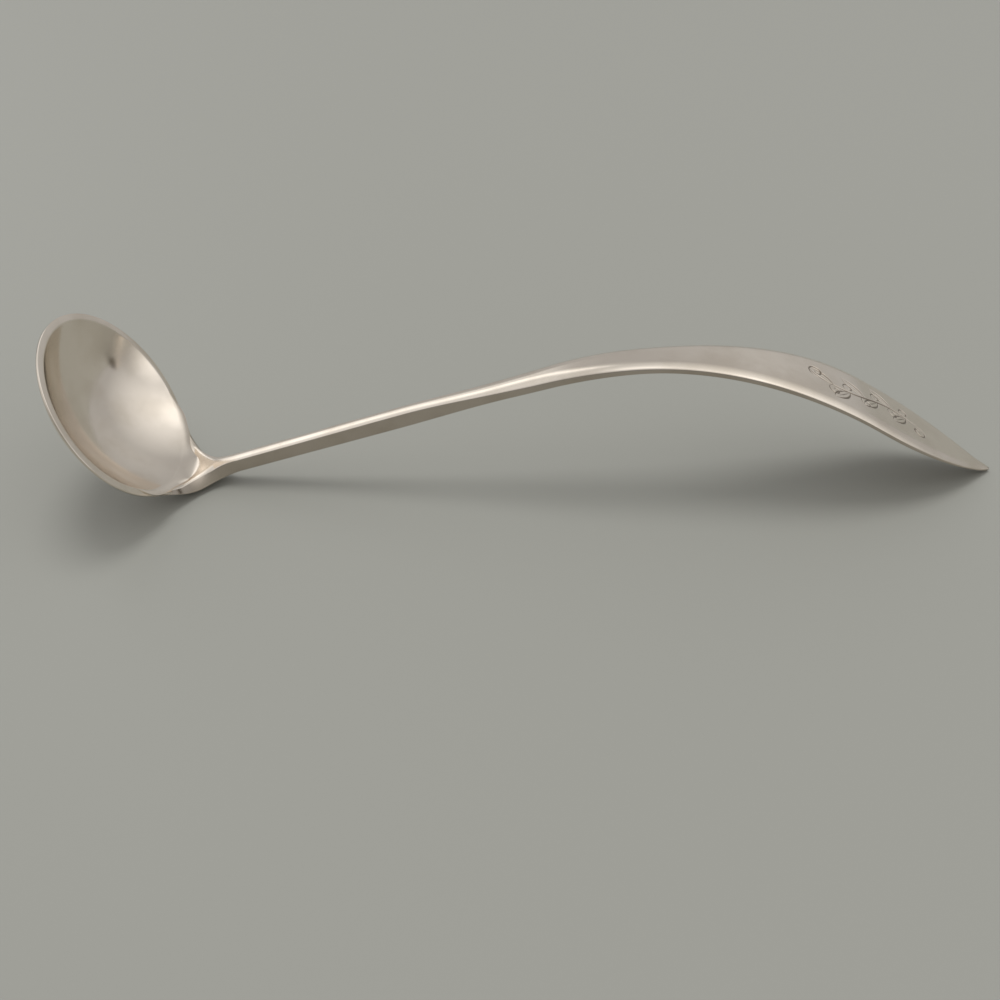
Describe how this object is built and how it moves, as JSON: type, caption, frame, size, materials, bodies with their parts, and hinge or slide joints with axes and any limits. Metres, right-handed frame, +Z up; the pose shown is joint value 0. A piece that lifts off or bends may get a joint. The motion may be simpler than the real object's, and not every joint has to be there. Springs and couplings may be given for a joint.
{
  "type": "mustard ladle",
  "caption": "Small silver condiment ladle: a shallow round bowl tilted up at the end of a slim square stem that spreads, arches over and ends in a flat pointed blade.",
  "frame": {"origin": "middle of the worn flat under the heel, where the ladle rests on the table", "axes": "+X along the table from the heel to the handle's tip, +Z up from the table, Y across the ladle, which is symmetric in Y"},
  "size_m": [0.1413, 0.029, 0.0274],
  "materials": {
    "bowl_silver": "polished, softly worn silver",
    "handle_silver": "polished, softly worn silver",
    "solder": "satin silver solder"
  },
  "bodies": {
    "root": {"bowl": "bowl_silver", "handle": "handle_silver", "solder_fillet": "solder"}
  },
  "joints": []
}
